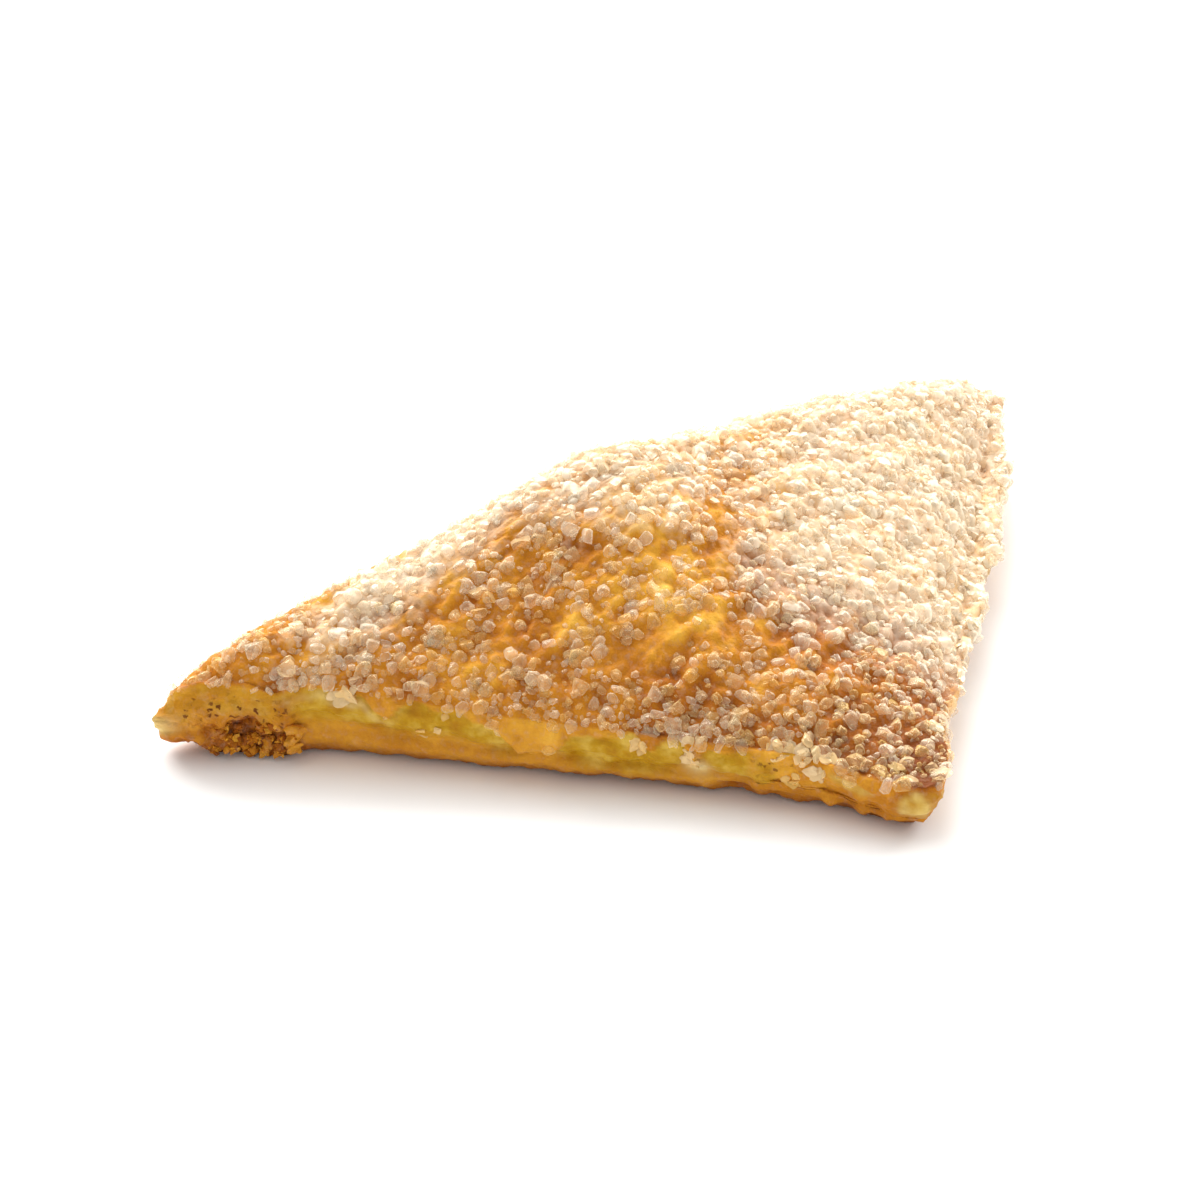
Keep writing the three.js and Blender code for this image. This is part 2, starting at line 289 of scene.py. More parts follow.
# Patterns are a size and where in the noise they are taken from; a start or an end comes with its fade
crustLook = {
    "stations": 640,
    "crownRings": 94,
    "sideRings": 28,
    "baseRings": 8,
    "crownSpread": 1.25,  # above 1, the rings lie closer towards the edge
    "baseSpread": 1.6,
    "wide": (17.0, 3.1),
    "middle": (6.5, 8.7),
    "small": (3.0, 2.7),
    "grain": (1.15, 9.9),
    "wrinkleHeight": 0.6,
    "wrinkleSize": 5.5,
    "wrinkleBend": 2.0,
    "wrinkleStretch": 0.55,  # below 1, they run down the slope
    "wrinkleSlant": 0.5,
    "wrinkleSharpness": 1.9,
    "cobbleHeight": 0.75,
    "cobbleSize": 2.3,
    "cobbleRound": 0.72,  # radius of a cobble, as a share of its size
    "cobblePits": -0.4,
    "cobbleCover": (0.65, 0.5),  # how high they stand on average, and how much that varies
    "grainHeight": 0.36,
    "cornerReach": 8.0,  # the square corner is plump and smooth up to here
    "cornerTuck": 1.8,  # how far it draws in at its foot
    "cornerFoot": (0.62, 0.38),  # from this share of the height down
    "cornerFootReach": 5.0,
    "leafHeight": 0.3,  # puffed layers that show on the cut sides
    "leafThickness": 1.5,
    "leafDrift": (11.0, 2.2),
    "puffHeight": 0.5,
    "puffs": (4.2, 6.1),
    "seamDrift": (9.0, 6.6),
    "overhang": 0.5,  # how far the crust stands out over the front cut side
    "yellowPatch": (18.0, -35.0),  # plan point of the patch that stayed unbrowned
    "yellowReach": (10.0, 11.0),
    "yellowSpots": [(-12.0, -52.0, 5.0, 3.5), (3.0, -45.0, 4.0, 5.0), (31.0, -48.0, 5.0, 5.0)],
    "spotStrength": 0.75,
    "brownSpot": (-1.0, -33.0, 9.0, 8.0),  # plan point, and its reach both ways
}

# The front cut side: places are shares along it, depths are shares of its height
frontLook = {
    "lip": 0.1,  # how far down the crust and its sugar reach
    "lipFade": 0.06,
    "lipDrift": 0.1,
    "lipWaves": [(6.0, 5.1, 1.0), (2.4, 1.1, 0.6)],  # size, where in the noise, strength
    "rightLip": 0.22,  # what is added to that on the right cut side
    "drips": [  # place, half width, reach
        (0.49, 0.038, 0.5),
        (0.64, 0.012, 0.22),
        (0.7, 0.012, 0.3),
        (0.3, 0.02, 0.15),
        (0.955, 0.015, 0.22),
    ],
    "openEnd": (0.195, 0.04),  # how far the near tip is open crumb along the front side
    "openRight": (0.3, 0.1),  # the same up the right coordinate
    "openDepth": (0.06, 0.1),
    "tornDepth": (0.35, 0.15),
    "crumbSize": 2.1,
    "crumbRound": 0.6,
    "crumbHeight": 0.8,
    "crumbHole": (0.118, 0.04, 0.66, 0.26),  # place, half width, depth and half height of the torn hole in it
    "crumbDepth": 1.7,
    "lapGapAndShadow": (0.752, 0.02, 0.85, 0.16),  # shadowed gap where the upper sheet starts to lap over
    "lapGapDepth": 1.6,
    "lapFade": 0.025,
    "scallops": 1.0,
    "scallopWaves": (4.5, 4.2),
    "rimWaves": 1.1,  # height of the waves in the lower rim
    "rimRipple": 0.3,
    "rimBeforeLap": 0.3,  # share of them to the left of the lap
    "rimOnRight": 0.5,
    "yellowTo": 0.3,  # how far down the upper sheet stays yellow before it turns golden
    "creamSpot": (0.703, 0.016, 0.5, 0.14, 0.8),  # place, half width, depth, half height, whiteness
    # painted highlight: a pale line along the top of the dough just under the crust's lip
    "paintedHighlightUnderLip": (0.24, 0.05, 0.1, 0.05, 0.35),  # the same, with its depth below the crust's edge
    "bumps": [  # pale bumps in the lapping sheet: place, half width, depth, half height, swelling, whiteness
        (0.785, 0.024, 0.4, 0.35, 0.3, 0.0),
        (0.905, 0.034, 0.16, 0.19, 0.8, 0.15),
        (0.988, 0.028, 0.3, 0.26, 1.1, 0.3),
    ],
    "porousDepth": (0.3, 0.2),  # depth and half height of the pores that show in the near tip
    "porousSpan": (0.01, 0.03, 0.2, 0.04),
    "porousLap": (0.8, 0.03, 0.75),  # place, half width, strength
    "nose": (-0.012, 0.032),  # place and half width of the pale nose
    "noseSpan": (0.2, 0.15, 0.72, 0.15),
}

# Browning from 0, pale gold, to 1, dark brown: what each place adds to that of the crust
browned = {
    "crust": 0.5,
    "wide": 0.12,  # these five are how much patterns and relief vary it
    "middle": 0.1,
    "small": 0.08,
    # painted shade: ridge and cobble make the furrows and the pits between cobbles browner than the ridges
    # and cobble tops
    "ridge": -0.12,
    "cobble": -0.1,
    # painted shade: the next three brown the front slopes, which face away from the back lights
    "lowSlopeShade": 0.18,
    "front": 0.08,
    "frontRightShade": 0.1,
    "spot": 0.06,
    "tipTop": 0.16,
    "squareCorner": 0.1,
    "alongFold": 0.2,
    # painted light: the left of the top is made paler, where the back-left light falls
    "leftTop": -0.16,
    "foldSide": 0.17,
    "yellowPatch": -0.5,
    "lapWaves": 0.14,
    # painted shadow: browns the gap where the upper sheet starts to lap over
    "lapGapAndShadow": 0.3,
    "openCrumb": 0.1,
    "openGrain": 0.12,
    "crumbHole": 0.3,
    "tornCrumb": -0.14,
    "tipFoot": 0.26,
    "lowerRim": 0.16,
    "lowerSheet": 0.5,  # these two stand in the crust's place
    "underside": 0.66,
}

# How thick and white the sugar lies in each place, from 0 to 1. It lies thickest on the top, the right flank
# and the fold, where the back lights fall, so the whiteness it gives is partly real sugar and partly painted
# light
thickSugarAndLight = {
    "rightFlank": 0.75,
    "flankStart": ((8.0, 30.0), (-50.0, 30.0)),  # in x and in y, each with its fade
    "top": 0.6,
    "topStart": (25.0, 9.0),
    "alongFold": 0.82,
    "foldSpan": (2.0, 7.0, 24.0, 18.0),
    "foldStart": (-50.0, 24.0),
    "clearOfFold": 6.0,
    "thinBelow": 0.1,  # less than this counts as none
}


def crustRings():
    look = crustLook
    x, y, share = outlineAt(evenAngles(look["stations"]))
    outX = np.roll(y, -1) - np.roll(y, 1)
    outY = np.roll(x, 1) - np.roll(x, -1)
    length = np.hypot(outX, outY)
    outX, outY = outX / length, outY / length
    lip = crustHeight(x, y)
    lift = rimLift(x, y, share)
    rings, downs = [], []
    for r in range(1, look["crownRings"] + 1):
        part = 1 - (1 - r / look["crownRings"]) ** look["crownSpread"]
        rx, ry = hubX + (x - hubX) * part, hubY + (y - hubY) * part
        rings.append(np.stack([rx, ry, crustHeight(rx, ry)], 1))
        downs.append(0.0)
    for r in range(1, look["sideRings"] + 1):
        down = r / look["sideRings"]
        shift = sideShift(down, x, y, share)
        drop = share["fold"] * math.sin(math.pi / 2 * down) + (1 - share["fold"]) * down
        rings.append(np.stack([x + outX * shift, y + outY * shift, lip + (lift - lip) * drop], 1))
        downs.append(down)
    rim = rings[-1]
    for r in range(1, look["baseRings"] + 1):
        part = 1 - (r / (look["baseRings"] + 1)) ** look["baseSpread"]
        rx, ry = hubX + (rim[:, 0] - hubX) * part, hubY + (rim[:, 1] - hubY) * part
        inward = np.hypot(rim[:, 0] - rx, rim[:, 1] - ry)
        rings.append(np.stack([rx, ry, rim[:, 2] * (1 - ease(inward / form["baseMargin"]))], 1))
        downs.append(1.0 + r / look["baseRings"])
    return rings, downs, share


def ringFaces(ringCount, stations):
    column = np.arange(stations)
    beside = (column + 1) % stations
    faces = []
    for r in range(ringCount - 1):
        a, b = 1 + r * stations, 1 + (r + 1) * stations
        faces += np.stack([a + column, b + column, b + beside, a + beside], 1).tolist()
    last = 1 + ringCount * stations
    end = 1 + (ringCount - 1) * stations
    pairs = list(zip(column.tolist(), beside.tolist()))
    faces += [[0, 1 + i, 1 + j] for i, j in pairs]
    faces += [[last, end + j, end + i] for i, j in pairs]
    return faces


# The open end of the near tip, from shares along the front side and up the right one
def nearTip(along, upright):
    return before(along, *frontLook["openEnd"]) * before(upright, *frontLook["openRight"])


# How far down the cut sides the crust hangs over the dough
def lipLine(points, along, share, tip):
    low = stretched(points, 0.1)
    drift = sum(noiseOver(low, size, shift) * amount for size, shift, amount in frontLook["lipWaves"])
    line = frontLook["lip"] + frontLook["lipDrift"] * drift
    drips = sum(reach * hump(along, at, width) for at, width, reach in frontLook["drips"])
    line = line + share["front"] * drips + frontLook["rightLip"] * share["right"]
    return np.clip(line, 0.02, 1) * (1 - 0.8 * tip)


# Where the sugar lies thick: over the top, the right flank and along the fold. The whiteness this gives the
# crust and the crystals is partly painted light on the faces that the back lights reach
def sugarAndLightOver(points):
    x, y, z = points.T
    inFromFold = (x - y) / root2
    startX, startY = thickSugarAndLight["flankStart"]
    thick = thickSugarAndLight["rightFlank"] * after(x, *startX) * after(y, *startY)
    thick = np.maximum(thick, thickSugarAndLight["top"] * after(z, *thickSugarAndLight["topStart"]))
    foldTop = between(inFromFold, *thickSugarAndLight["foldSpan"]) * after(x, *thickSugarAndLight["foldStart"])
    thick *= ease(inFromFold / thickSugarAndLight["clearOfFold"])
    thick = np.maximum(thick, thickSugarAndLight["alongFold"] * foldTop)
    return thick - thickSugarAndLight["thinBelow"]


# Every point of the crust: where it lies, its relief, and what colours it there
class CrustZones:
    def __init__(self, points, down, share):
        self.points, self.down, self.share = points, down, share
        self.x, self.y, self.z = points.T
        self.along, self.upright = shareOf(self.x), shareOf(self.y)
        self.fromCorner = np.hypot(self.x - half, self.y + half)
        self.onCrown = (down == 0).astype(float)
        self.onSide = ((down > 0) & (down <= 1)).astype(float)
        self.onBase = (down > 1).astype(float)
        self.cut = self.onSide * (1 - share["fold"])
        self.front = self.cut * share["front"]
        self.tip = nearTip(self.along, self.upright)
        self.lip = lipLine(points, self.along, share, self.tip)
        self.wide = noiseOver(points, *crustLook["wide"])
        self.middle = noiseOver(points, *crustLook["middle"])
        self.small = noiseOver(points, *crustLook["small"])
        self.grain = noiseOver(points, *crustLook["grain"])
        self.wrinkle()
        self.puffSheets()
        self.tearTip()
        self.yellow = self.yellowPatches()
        self.frostAndPaintedLight = self.meltedSugarAndLight()
        self.browning = self.bakedBrown()
        self.pale, self.cream = self.bareDough()
        foot = hump(self.fromCorner, 0, crustLook["cornerFootReach"]) * after(down, *crustLook["cornerFoot"])
        self.relief -= crustLook["cornerTuck"] * self.onSide * foot
        self.wave = frontLook["rimWaves"] * self.scallop + frontLook["rimRipple"] * np.abs(self.small)
        least = frontLook["rimBeforeLap"]
        onFront = share["front"] * (least + (1 - least) * self.lapped)
        self.wave *= onFront + frontLook["rimOnRight"] * share["right"]

    # noise on the cut sides: long along them where `upwards` is below 1
    def pattern(self, upwards, size, shift):
        return noiseOver(stretched(self.points, upwards), size, shift)

    # how near each point of the cut side is to a place on it
    def around(self, place, halfWide, depth, halfHigh):
        return hump(self.along, place, halfWide) * hump(self.down, depth, halfHigh)

    # skin that is wrinkled, cobbled where sugar has melted in, and hangs over the cut sides
    def wrinkle(self):
        look = crustLook
        bend = np.stack([self.wide, self.middle, 0 * self.wide], 1) * look["wrinkleBend"]
        fall = (self.points + bend) * np.array([1.0, look["wrinkleStretch"], 1.0])
        fall[:, 0] -= look["wrinkleSlant"] * self.y
        self.ridge = 0.55 - np.abs(noiseOver(fall, look["wrinkleSize"], 1.3)) * look["wrinkleSharpness"]
        cells = cellsOver(self.points + 0.5 * bend, look["cobbleSize"], 5.5)
        cover, varied = look["cobbleCover"]
        self.cobble = np.clip(1 - (cells / look["cobbleRound"]) ** 2, look["cobblePits"], 1)
        self.cobble *= cover + varied * self.middle
        self.hang = ease((self.lip - self.down) / frontLook["lipFade"] + 0.5)
        foldSide = self.onSide * self.share["fold"] * before(self.down, 1, 0.5)
        self.skin = np.maximum(np.maximum(self.onCrown, foldSide), self.cut * self.hang)
        self.plump = hump(self.fromCorner, 0, look["cornerReach"])
        self.relief = self.skin * (look["wrinkleHeight"] * self.ridge + look["cobbleHeight"] * self.cobble)
        self.relief += look["grainHeight"] * self.grain * (0.7 + 0.3 * self.skin)
        self.relief *= 1 - 0.3 * self.plump
        overCut = self.front * self.hang * ease(self.down / 0.08) * (1 - self.plump)
        self.relief += look["overhang"] * overCut + 0.5 * self.onCrown * self.plump

    # the cut sides: soft puffed layers in the upper sheet, one smooth skin below, and the lap on the right
    def puffSheets(self):
        look, down = crustLook, self.down
        seam = form["seam"] + 0.05 * self.pattern(0.2, *look["seamDrift"])
        self.sheet = self.cut * (1 - self.hang) * before(down, seam + 0.03, 0.08)
        self.lower = self.cut * (1 - self.hang) * after(down, seam, 0.1)
        drift = self.pattern(0.35, *look["leafDrift"])
        layers = np.sin(2 * np.pi * (self.z / look["leafThickness"] + 1.1 * drift))
        leaves = look["leafHeight"] * (0.35 + 0.9 * self.share["right"] * self.onSide)
        puffs = look["puffHeight"] * self.pattern(1.6, *look["puffs"])
        self.relief += self.sheet * (leaves * layers + puffs + 0.25 * self.small)
        self.scallop = np.abs(self.pattern(0.2, *frontLook["scallopWaves"]))
        self.lapped = self.front * after(self.along, form["lapStart"], frontLook["lapFade"])
        waves = frontLook["scallops"] * (0.2 + 0.8 * self.lapped) * (self.scallop - 0.25)
        self.relief += self.lower * (0.25 * self.middle - waves)
        self.relief += 0.5 * self.lapped * self.sheet * (self.middle - self.scallop)
        self.relief += 0.5 * self.lapped * before(down, 0.75, 0.2)
        self.relief += form["seamDepth"] * self.lapped * hump(down, form["seam"], form["seamWidth"])
        self.gap = self.front * self.around(*frontLook["lapGapAndShadow"])
        self.relief -= frontLook["lapGapDepth"] * self.gap

    # the near tip is open crumb, with a torn hole in it
    def tearTip(self):
        down, along = self.down, self.along
        at, halfWide, depth, halfHigh = frontLook["crumbHole"]
        fromHole = ((along - at) / halfWide) ** 2 + ((down - depth) / halfHigh) ** 2
        self.hole = np.exp(-(fromHole**1.6)) * self.cut * np.clip(1 + 0.8 * self.small, 0, 1.3)
        self.openCrumb = self.tip * self.cut * after(down, *frontLook["openDepth"])
        cells = cellsOver(self.points, frontLook["crumbSize"], 7.7)
        crumb = np.clip(1 - (cells / frontLook["crumbRound"]) ** 2, -0.5, 1)
        self.torn = self.openCrumb * after(down, *frontLook["tornDepth"]) * after(along, 0.02, 0.04) * crumb
        self.relief += 0.4 * self.openCrumb * (self.small + self.grain)
        self.relief += frontLook["crumbHeight"] * self.torn - frontLook["crumbDepth"] * self.hole
        inTip = self.openCrumb * hump(down, *frontLook["porousDepth"])
        inTip *= between(along, *frontLook["porousSpan"])
        at, halfWide, strength = frontLook["porousLap"]
        inLap = strength * self.lapped * self.sheet * hump(along, at, halfWide) * before(down, 0.5, 0.2)
        self.porous = unit(np.maximum(inTip, inLap))

    # the patch on the slope that stayed yellow, and smaller glimpses of the same round it
    def yellowPatches(self):
        look = crustLook
        atX, atY = look["yellowPatch"]
        reachX, reachY = look["yellowReach"]
        u = (self.x - atX) / reachX + 0.5 * self.middle
        v = (self.y - atY) / reachY + 0.5 * self.wide
        patch = np.exp(-((u * u + v * v) ** 1.2))
        for spotX, spotY, reachX, reachY in look["yellowSpots"]:
            u = (self.x - spotX) / reachX + 0.4 * self.middle
            spot = look["spotStrength"] * hump(u, 0, 1) * hump(self.y, spotY, reachY)
            patch = np.maximum(patch, spot)
        return patch * self.onCrown * np.clip(0.75 + 0.7 * self.small + 0.4 * self.middle, 0.1, 1)

    # the film of sugar that has melted into the crust, thicker at the left end of the fold: partly real
    # sugar, partly painted light that whitens the lit top, right flank and left end of the fold
    def meltedSugarAndLight(self):
        thick = unit(sugarAndLightOver(self.points) * (1 + 0.3 * ease(-self.x / 30)))
        speckle = 0.3 * self.cobble + 0.2 * self.small + 0.2 * self.grain
        film = unit((0.5 + 0.5 * thick) * speckle + 1.1 * thick - 0.2)
        return self.skin * (1 - 0.8 * self.plump) * film

    # the sum of what each place adds to the browning, of the whole crust and then over the lower sheet too
    def bakedBrown(self):
        x, y, z, down, tip = self.x, self.y, self.z, self.down, self.tip
        spotX, spotY, reachX, reachY = crustLook["brownSpot"]
        # the low slope and front terms brown the front slopes: painted shade on the side that faces away from
        # the back lights
        lowSlopeShade = before(z, 21, 12) * before(y, -25, 15) * (1 + 0.5 * after(x, 12, 20))
        front = self.onCrown * before(y, -16, 16) * (1 - self.yellow)
        upper = {
            "wide": self.wide,
            "middle": self.middle,
            "small": self.small,
            # painted shade: furrows and pits come out browner than ridges and cobble tops
            "ridge": self.ridge,
            "cobble": self.cobble,
            "lowSlopeShade": self.onCrown * lowSlopeShade,
            "front": front,
            "frontRightShade": front * after(x, 8, 20),
            "spot": hump(x, spotX, reachX) * hump(y, spotY, reachY),
            "tipTop": tip * self.onCrown,
            "squareCorner": hump(self.along, 0.97, 0.05) * hump(self.upright, 0.02, 0.05),
            "alongFold": before((x - y) / root2, 15, 11) * after(x, -38, 20) * (down <= 1),
            # painted light: the left of the top is paler, where the back-left light falls
            "leftTop": self.onCrown * before(x, -15, 20),
            "foldSide": self.onSide * self.share["fold"] * ease(down / 0.8),
            "yellowPatch": self.yellow,
        }
        over = {
            "lapWaves": self.lapped * self.scallop * self.lower,
            # painted shadow in the gap under the lap
            "lapGapAndShadow": self.gap,
            "openCrumb": self.openCrumb,
            "openGrain": self.openCrumb * self.grain,
            "tornCrumb": self.torn,
            "crumbHole": self.hole * (1 + 0.6 * self.small),
            "tipFoot": tip * self.cut * after(down, 0.68, 0.15),
        }
        crust = browned["crust"] + sum(browned[name] * where for name, where in upper.items())
        lower = browned["lowerSheet"] + 0.08 * self.middle + 0.1 * self.wide
        lower += browned["lowerRim"] * after(down, 0.86, 0.14)
        browning = crust * (1 - self.lower) + lower * self.lower
        browning += sum(browned[name] * where for name, where in over.items())
        base = browned["underside"] + browned["wide"] * self.wide + browned["middle"] * self.middle
        return unit(browning * (1 - self.onBase) + base * self.onBase)

    # pale dough on the cut sides, the cream colour of its whitest places, and a painted highlight along the
    # top of the dough under the crust's lip
    def bareDough(self):
        down, along, small = self.down, self.along, self.small
        deep = frontLook["yellowTo"] + 0.2 * hump(along, 0.62, 0.11) + 0.12 * self.middle
        onFront = self.cut * (1 - self.hang) * (1 - after(down, deep, 0.45))
        pale = np.where(self.front > 0.5, onFront, self.sheet) * (1 - self.lapped)
        *place, white = frontLook["creamSpot"]
        cream = white * self.around(*place)
        for *place, swell, white in frontLook["bumps"]:
            bump = self.lapped * (1 - self.hang) * self.around(*place)
            self.relief += swell * bump
            bump = ease((bump * (1 + 0.3 * small) - 0.25) / 0.4) * np.clip(0.8 + 0.3 * self.grain, 0, 1)
            pale = np.maximum(pale, bump)
            cream += white * bump * np.clip(1 + 0.9 * small + 0.5 * self.grain, 0, 2)
        pale *= 1 - 0.45 * self.tip
        pale -= 0.6 * self.hole + 0.22 * self.openCrumb * (1 + 0.6 * self.middle + 1.4 * small)
        nose = hump(along, *frontLook["nose"]) * hump(self.upright, 0.0, 0.1)
        nose *= between(down, *frontLook["noseSpan"])
        pale = np.maximum(pale, 0.9 * nose * self.onSide)
        cream += 0.7 * nose * (0.7 + 0.6 * small)
        # painted highlight: a pale line just under the lip
        at, halfWide, below, halfHigh, white = frontLook["paintedHighlightUnderLip"]
        cream += white * self.around(at, halfWide, self.lip + below, halfHigh)
        return unit(pale), unit(cream * self.front)


def storeNumbers(mesh, name, values):
    mesh.attributes.new(name, "FLOAT", "POINT").data.foreach_set("value", np.asarray(values, np.float32))


def meshObject(name, points, faces, material):
    mesh = bpy.data.meshes.new(name)
    mesh.from_pydata((np.asarray(points) * mm).tolist(), [], faces)
    mesh.shade_smooth()
    mesh.update()
    made = bpy.data.objects.new(name, mesh)
    made.data.materials.append(material)
    bpy.context.collection.objects.link(made)
    return made


def normalsOf(mesh):
    flat = np.empty(len(mesh.vertices) * 3, np.float32)
    mesh.vertex_normals.foreach_get("vector", flat)
    return flat.reshape(-1, 3).astype(float)


def makeCrust(material):
    rings, downs, share = crustRings()
    stations = crustLook["stations"]
    top = [[hubX, hubY, float(crustHeight(np.array(hubX), np.array(hubY)))]]
    points = np.concatenate([top] + rings + [[[hubX, hubY, 0.0]]])
    down = np.concatenate([[0.0]] + [np.full(stations, d) for d in downs] + [[2.0]])
    shares = {n: np.concatenate([[0.0], np.tile(s, len(rings)), [0.0]]) for n, s in share.items()}
    crust = meshObject("crust", points + toFrame, ringFaces(len(rings), stations), material)
    zones = CrustZones(points, down, shares)
    # nothing moves below the table, and the flat base stays flat
    relief = zones.relief * unit((1.3 - down) / 0.3)
    moved = points + toFrame + normalsOf(crust.data) * relief[:, None]
    moved[:, 2] += zones.wave * hump(down, 1, 0.22) * (down > 0)
    moved[:, 2] = np.maximum(moved[:, 2], 0)
    crust.data.vertices.foreach_set("co", (moved * mm).ravel())
    crust.data.update()
    for name in ("browning", "frostAndPaintedLight", "pale", "cream", "porous"):
        storeNumbers(crust.data, name, getattr(zones, name))
    print("crust made:", len(crust.data.polygons), "faces")
    return Ground(crust, moved, down, shares)


# A material, and the kinds of node that the looks are made of
class Nodes:
    def __init__(self, name):
        self.material = bpy.data.materials.new(name)
        self.material.use_nodes = True
        self.tree = self.material.node_tree
        self.shader = self.tree.nodes["Principled BSDF"]
        self.place = self.add("ShaderNodeTexCoord").outputs["Object"]

    def add(self, kind, **settings):
        node = self.tree.nodes.new(kind)
        for key, value in settings.items():
            setattr(node, key, value)
        return node

    def link(self, output, target):
        self.tree.links.new(output, target)

    def feed(self, socket, value):
        if isinstance(value, tuple):
            socket.default_value = (*value, 1)
        elif isinstance(value, (int, float)):
            socket.default_value = value
        else:
            self.link(value, socket)

    def attribute(self, name):
        return self.add("ShaderNodeAttribute", attribute_name=name).outputs["Fac"]

    def ramp(self, factor, stops):
        node = self.add("ShaderNodeValToRGB")
        while len(node.color_ramp.elements) < len(stops):
            node.color_ramp.elements.new(0.5)
        for element, (place, colour) in zip(node.color_ramp.elements, stops):
            element.position = place
            element.color = (*colour, 1)
        self.link(factor, node.inputs["Fac"])
        return node.outputs["Color"]

    def sums(self, kind, a, b, clamp=False):
        node = self.add("ShaderNodeMath", operation=kind, use_clamp=clamp)
        self.feed(node.inputs[0], a)
        self.feed(node.inputs[1], b)
        return node.outputs[0]

    # value plus how far the pattern is from its middle, times the amount
    def vary(self, value, pattern, amount):
        return self.sums("ADD", value, self.sums("MULTIPLY", self.sums("SUBTRACT", pattern, 0.5), amount))

    def mix(self, factor, a, b):
        node = self.add("ShaderNodeMix", data_type="RGBA")
        for socket, value in ((node.inputs[0], factor), (node.inputs[6], a), (node.inputs[7], b)):
            self.feed(socket, value)
        return node.outputs[2]

    def noise(self, scale, detail=3.0, roughness=0.55):
        node = self.add("ShaderNodeTexNoise")
        node.inputs["Scale"].default_value = scale
        node.inputs["Detail"].default_value = detail
        node.inputs["Roughness"].default_value = roughness
        self.link(self.place, node.inputs["Vector"])
        return node.outputs["Fac"]

    # dots inside cells, flattened into uneven slots; the crust paints them dark as painted shade inside its
    # pores
    def slots(self, scale, flatness, size):
        uneven = self.add("ShaderNodeTexNoise")
        uneven.inputs["Scale"].default_value = scale * 2.5
        self.link(self.place, uneven.inputs["Vector"])
        moved = self.add("ShaderNodeVectorMath", operation="MULTIPLY_ADD")
        self.link(uneven.outputs["Color"], moved.inputs[0])
        moved.inputs[1].default_value = (0.8 / scale,) * 3
        self.link(self.place, moved.inputs[2])
        stretch = self.add("ShaderNodeMapping")
        stretch.inputs["Scale"].default_value = (1, 1, flatness)
        self.link(moved.outputs[0], stretch.inputs["Vector"])
        cell = self.add("ShaderNodeTexVoronoi")
        cell.inputs["Scale"].default_value = scale
        self.link(stretch.outputs[0], cell.inputs["Vector"])
        edge = self.sums("SUBTRACT", size, cell.outputs["Distance"])
        return self.sums("MULTIPLY", edge, 1 / (0.35 * size), clamp=True)

    def bump(self, height, distance, strength):
        node = self.add("ShaderNodeBump")
        node.inputs["Strength"].default_value = strength
        node.inputs["Distance"].default_value = distance
        self.link(height, node.inputs["Height"])
        self.link(node.outputs["Normal"], self.shader.inputs["Normal"])

    def fixed(self, **values):
        for key, value in values.items():
            self.shader.inputs[key.replace("_", " ")].default_value = value


bakedLook = {
    "stops": [  # from pale gold to dark brown
        (0.0, (0.84, 0.50, 0.09)),
        (0.25, (0.76, 0.37, 0.035)),
        (0.5, (0.57, 0.22, 0.014)),
        (0.75, (0.39, 0.115, 0.008)),
        (1.0, (0.2, 0.05, 0.006)),
    ],
    # the frost colour: partly real melted sugar, partly painted light on the faces that the back lights reach
    "frostAndPaintedLight": (0.99, 0.86, 0.66),  # the film of sugar that has melted into the crust
    "dough": [
        (0.34, (0.42, 0.185, 0.006)),
        (0.5, (0.52, 0.28, 0.012)),
        (0.66, (0.68, 0.44, 0.07)),
    ],
    # cream also colours the painted highlight under the lip
    "cream": (0.92, 0.78, 0.42),
    # painted shade: the dark colour that fills the pores
    "poreShade": (0.16, 0.045, 0.006),
    "fineScale": 1100.0,  # speckles to the metre
    "broadScale": 260.0,
    "pores": (600.0, 1.5, 0.31),  # cells to the metre, their flatness, and the share of a cell that is pore
    "gritScales": (900.0, 2600.0),
    "gritDepth": 0.0006,
    "roughness": 0.46,
    "doughGloss": 0.15,  # how much smoother the dough is
}


def bakedCrust():
    n = Nodes("bakedCrust")
    fine = n.noise(bakedLook["fineScale"], 4)
    broad = n.noise(bakedLook["broadScale"], 3)
    pale = n.attribute("pale")
    browning = n.vary(n.vary(n.attribute("browning"), fine, 0.3), broad, 0.3)
    crust = n.ramp(browning, bakedLook["stops"])
    # the frost mask lightens the crust: partly real sugar, partly painted light on the lit top and back
    frostAndPaintedLight = n.sums("MULTIPLY", n.vary(n.attribute("frostAndPaintedLight"), fine, 0.5), 0.95, clamp=True)
    crust = n.mix(frostAndPaintedLight, crust, bakedLook["frostAndPaintedLight"])
    dough = n.ramp(broad, bakedLook["dough"])
    colour = n.mix(pale, crust, dough)
    colour = n.mix(n.attribute("cream"), colour, bakedLook["cream"])
    # painted shade: the pores are darkened where the porous mask lies, standing for the shade inside them
    pores = n.sums("MULTIPLY", n.slots(*bakedLook["pores"]), n.attribute("porous"))
    colour = n.mix(pores, colour, bakedLook["poreShade"])
    n.link(colour, n.shader.inputs["Base Color"])
    rough = n.vary(bakedLook["roughness"], fine, 0.3)
    rough = n.sums("SUBTRACT", rough, n.sums("MULTIPLY", pale, bakedLook["doughGloss"]))
    n.link(rough, n.shader.inputs["Roughness"])
    coarseGrit, fineGrit = bakedLook["gritScales"]
    relief = n.sums("ADD", n.noise(coarseGrit, 4, 0.6), n.sums("MULTIPLY", n.noise(fineGrit, 2), 0.4))
    n.bump(n.sums("SUBTRACT", relief, n.sums("MULTIPLY", pores, 1.5)), bakedLook["gritDepth"], 0.5)
    n.fixed(IOR=1.45, Specular_IOR_Level=0.1)
    return n.material


